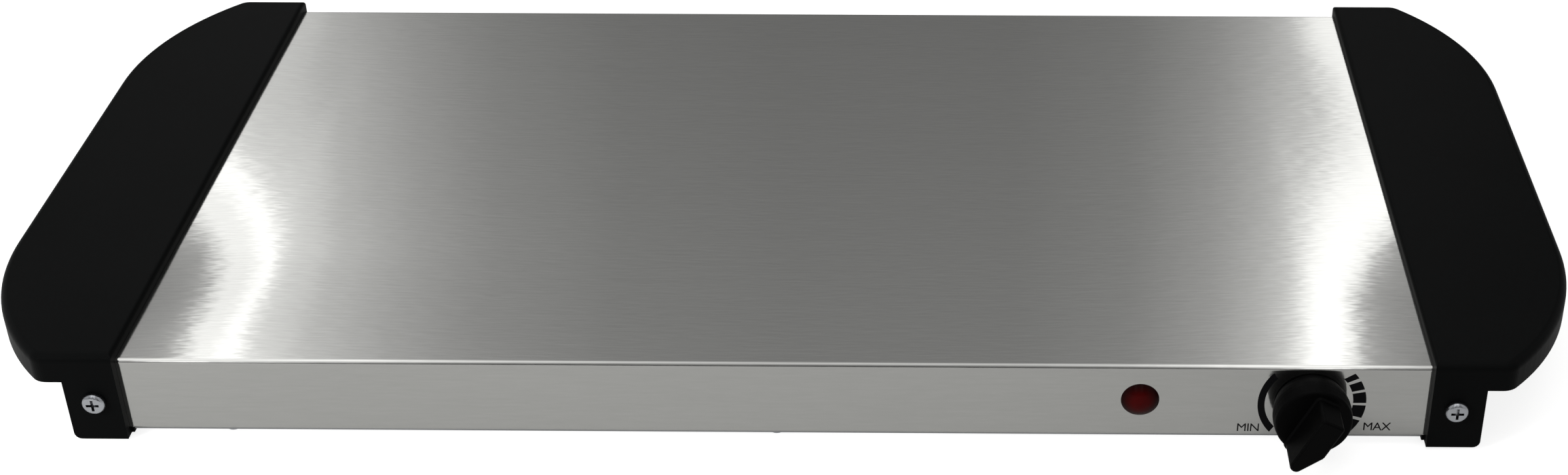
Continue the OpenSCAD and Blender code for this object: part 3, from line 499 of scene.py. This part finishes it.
FLOOR_SIZE, FLOOR_GAP = 12.0, 0.0002
FLOOR_SEGMENTS = 8
PAPER = (0.37, 0.37, 0.365)
WHITE = tone(1, 1, 1)
# How strongly the paper glows for the camera, and in gloss
FLOOR_GLOW, GLOW_IN_GLOSS = 0.82, 0.09


def floor_paper():
    """Grey paper that glows for the camera, glass and gloss alone.

    It is clear from below, and to shadow rays, so the softbox under it reaches the tray.
    """
    s = Shader("floor_paper")
    rays = s.node("ShaderNodeLightPath").outputs
    seen = s.math("MAXIMUM", rays["Is Camera Ray"], rays["Is Transmission Ray"])
    in_gloss = s.times(rays["Is Glossy Ray"], GLOW_IN_GLOSS)
    strength = s.math("MAXIMUM", s.times(seen, FLOOR_GLOW), in_gloss)
    paper = s.node("ShaderNodeBsdfDiffuse", {"Color": tone(*PAPER)})
    glow = s.node("ShaderNodeEmission", {"Color": WHITE, "Strength": strength})
    both = s.node("ShaderNodeAddShader", {0: paper.outputs[0], 1: glow.outputs[0]})
    from_below = s.node("ShaderNodeNewGeometry").outputs["Backfacing"]
    clear = s.node("ShaderNodeBsdfTransparent")
    open_way = s.math("MAXIMUM", from_below, rays["Is Shadow Ray"])
    one_way = s.node("ShaderNodeMixShader", {0: open_way, 1: both.outputs[0], 2: clear.outputs[0]})
    s.surface(one_way.outputs[0])
    return s.material


def make_floor():
    mesh = bmesh.new()
    segments = {"x_segments": FLOOR_SEGMENTS, "y_segments": FLOOR_SEGMENTS}
    bmesh.ops.create_grid(mesh, size=FLOOR_SIZE / 2, **segments)
    data = bpy.data.meshes.new("floor")
    mesh.to_mesh(data)
    mesh.free()
    floor = bpy.data.objects.new("floor", data)
    bpy.context.scene.collection.objects.link(floor)
    floor.data.materials.append(floor_paper())
    floor.location.z = -FLOOR_GAP


# Light level of the room seen in gloss, by the X of a direction: two tall light strips behind the
# tray, the left one with two peaks, and a dark middle
ROOM = [
    (-0.38, 0.12), (-0.345, 0.40), (-0.322, 0.43), (-0.3085, 0.48), (-0.3045, 1.95), (-0.3015, 1.60),
    (-0.299, 1.25), (-0.2960, 1.15), (-0.2935, 2.30), (-0.2900, 2.30), (-0.2878, 1.03), (-0.273, 0.93),
    (-0.267, 0.76), (-0.262, 0.69), (-0.2585, 0.73), (-0.2555, 0.65), (-0.25, 0.62), (-0.235, 0.50),
    (-0.214, 0.40), (-0.20, 0.35), (-0.15, 0.27), (-0.08, 0.24), (0.02, 0.24), (0.07, 0.29),
    (0.105, 0.43), (0.125, 0.62), (0.136, 0.82), (0.1405, 1.05), (0.144, 1.55), (0.150, 1.75),
    (0.160, 1.75), (0.163, 1.60), (0.167, 0.48), (0.178, 0.41), (0.20, 0.30), (0.24, 0.12),
]
# Light level of the world for all rays but the camera's, those through glass and those in gloss
EVEN_LIGHT = 0.34
# The levels hold where a direction's Z is HORIZON. They grow by RISE of themselves a unit above it,
# and shrink below it, to LEAST_SHARE at the least.
HORIZON, RISE, LEAST_SHARE = 0.52, 2.3, 0.2
# What is brighter than the walls' own most is a light strip, and it fades out between two Z
WALL_LEVEL, STRIP_TOP_FROM, STRIP_TOP_TO = 0.5, 0.62, 0.85
# The walls brighten further up, towards the ceiling
CEILING_FROM, CEILING_RISE = 0.62, 9.0
# Far to either side the room gains this level
SIDE_FROM, SIDE_TO, SIDE_LEVEL = 0.35, 0.70, 0.30


class WorldShader(Shader):
    """The same short calls on a world's node tree."""

    def __init__(self, name):
        self.world = bpy.data.worlds.new(name)
        self.world.use_nodes = True
        self.tree = self.world.node_tree
        self.tree.nodes.clear()
        self.out = self.node("ShaderNodeOutputWorld")


def level_across(s, x):
    """The ROOM level at the X of a direction, on straight lines from point to point."""
    first, last = ROOM[0][0], ROOM[-1][0]
    top = max(level for _, level in ROOM)
    ends = {"Value": x, "From Min": first, "From Max": last}
    across = s.node("ShaderNodeMapRange", ends).outputs["Result"]
    curve = s.node("ShaderNodeFloatCurve", {"Value": across})
    points = curve.mapping.curves[0].points
    while len(points) < len(ROOM):
        points.new(0.5, 0.5)
    for point, (lean, level) in zip(points, ROOM):
        point.location = ((lean - first) / (last - first), level / top)
        point.handle_type = "VECTOR"
    curve.mapping.update()
    return s.times(curve.outputs[0], top)


def room_brightness(s, direction):
    """Light level of the room in a direction: its walls, light strips, ceiling and far sides."""
    parts = s.node("ShaderNodeSeparateXYZ", {"Vector": direction}).outputs
    level = level_across(s, parts["X"])
    wall = s.math("MINIMUM", level, WALL_LEVEL)
    rise = s.plus(1.0, s.times(s.math("SUBTRACT", parts["Z"], HORIZON), RISE))
    up = s.math("MAXIMUM", rise, LEAST_SHARE)
    ceiling = s.above(parts["Z"], CEILING_FROM)
    glow = s.times(ceiling, ceiling, CEILING_RISE)
    fade = s.ease(parts["Z"], STRIP_TOP_FROM, STRIP_TOP_TO, 1.0, 0.0)
    side = s.ease(s.math("ABSOLUTE", parts["X"]), SIDE_FROM, SIDE_TO, 0.0, SIDE_LEVEL)
    strips = s.times(s.math("SUBTRACT", level, wall), s.times(up, fade))
    walls = s.times(wall, s.plus(up, glow))
    return s.plus(side, s.plus(walls, strips))


def make_world():
    """White for the camera, the room in gloss, and an even light on the rest."""
    s = WorldShader("studio")
    bpy.context.scene.world = s.world
    rays = s.node("ShaderNodeLightPath").outputs
    glossy = rays["Is Glossy Ray"]
    direction = s.node("ShaderNodeTexCoord").outputs["Generated"]
    in_gloss = s.times(glossy, room_brightness(s, direction))
    even = s.times(s.math("SUBTRACT", 1.0, glossy), EVEN_LIGHT)
    seen = s.math("MAXIMUM", rays["Is Camera Ray"], rays["Is Transmission Ray"])
    level = s.math("MAXIMUM", s.plus(in_gloss, even), seen)
    shell = s.node("ShaderNodeBackground", {"Color": WHITE, "Strength": level})
    s.surface(shell.outputs["Background"])


# Each softbox: name, place, what it points at, width, height, power in watts, shows in gloss.
# The front one is there twice, so that gloss shows only a part of its power.
SOFTBOXES = [
    ("softbox_top", (0.0, -0.25, 1.5), (0.0, 0.0, 0.0), 1.6, 0.9, 9.0, False),
    ("softbox_left", (-0.75, -0.65, 0.5), (-0.3, -0.25, 0.0), 0.4, 0.4, 8.0, False),
    ("softbox_front", (0.3, -1.6, 0.9), (0.0, 0.0, 0.0), 2.2, 0.9, 5.2, False),
    ("softbox_front_gloss", (0.3, -1.6, 0.9), (0.0, 0.0, 0.0), 2.2, 0.9, 2.8, True),
    ("softbox_below", (0.0, 0.0, -0.7), (0.0, 0.0, 0.0), 1.4, 1.0, 6.0, True),
]


def make_softboxes():
    for name, place, target, width, height, power, in_gloss in SOFTBOXES:
        data = bpy.data.lights.new(name, "AREA")
        data.shape = "RECTANGLE"
        data.size, data.size_y = width, height
        data.energy = power
        lamp = bpy.data.objects.new(name, data)
        lamp.visible_glossy = in_gloss
        lamp.location = place
        aim = Vector(target) - Vector(place)
        lamp.rotation_euler = aim.to_track_quat("-Z", "Y").to_euler()
        bpy.context.scene.collection.objects.link(lamp)


# ---------- the scene ----------

make_camera()
MATERIALS = make_materials()
dress_frame(MATERIALS)
print_dial(MATERIALS)
make_floor()
make_world()
make_softboxes()
bpy.context.scene.view_settings.view_transform = "Standard"
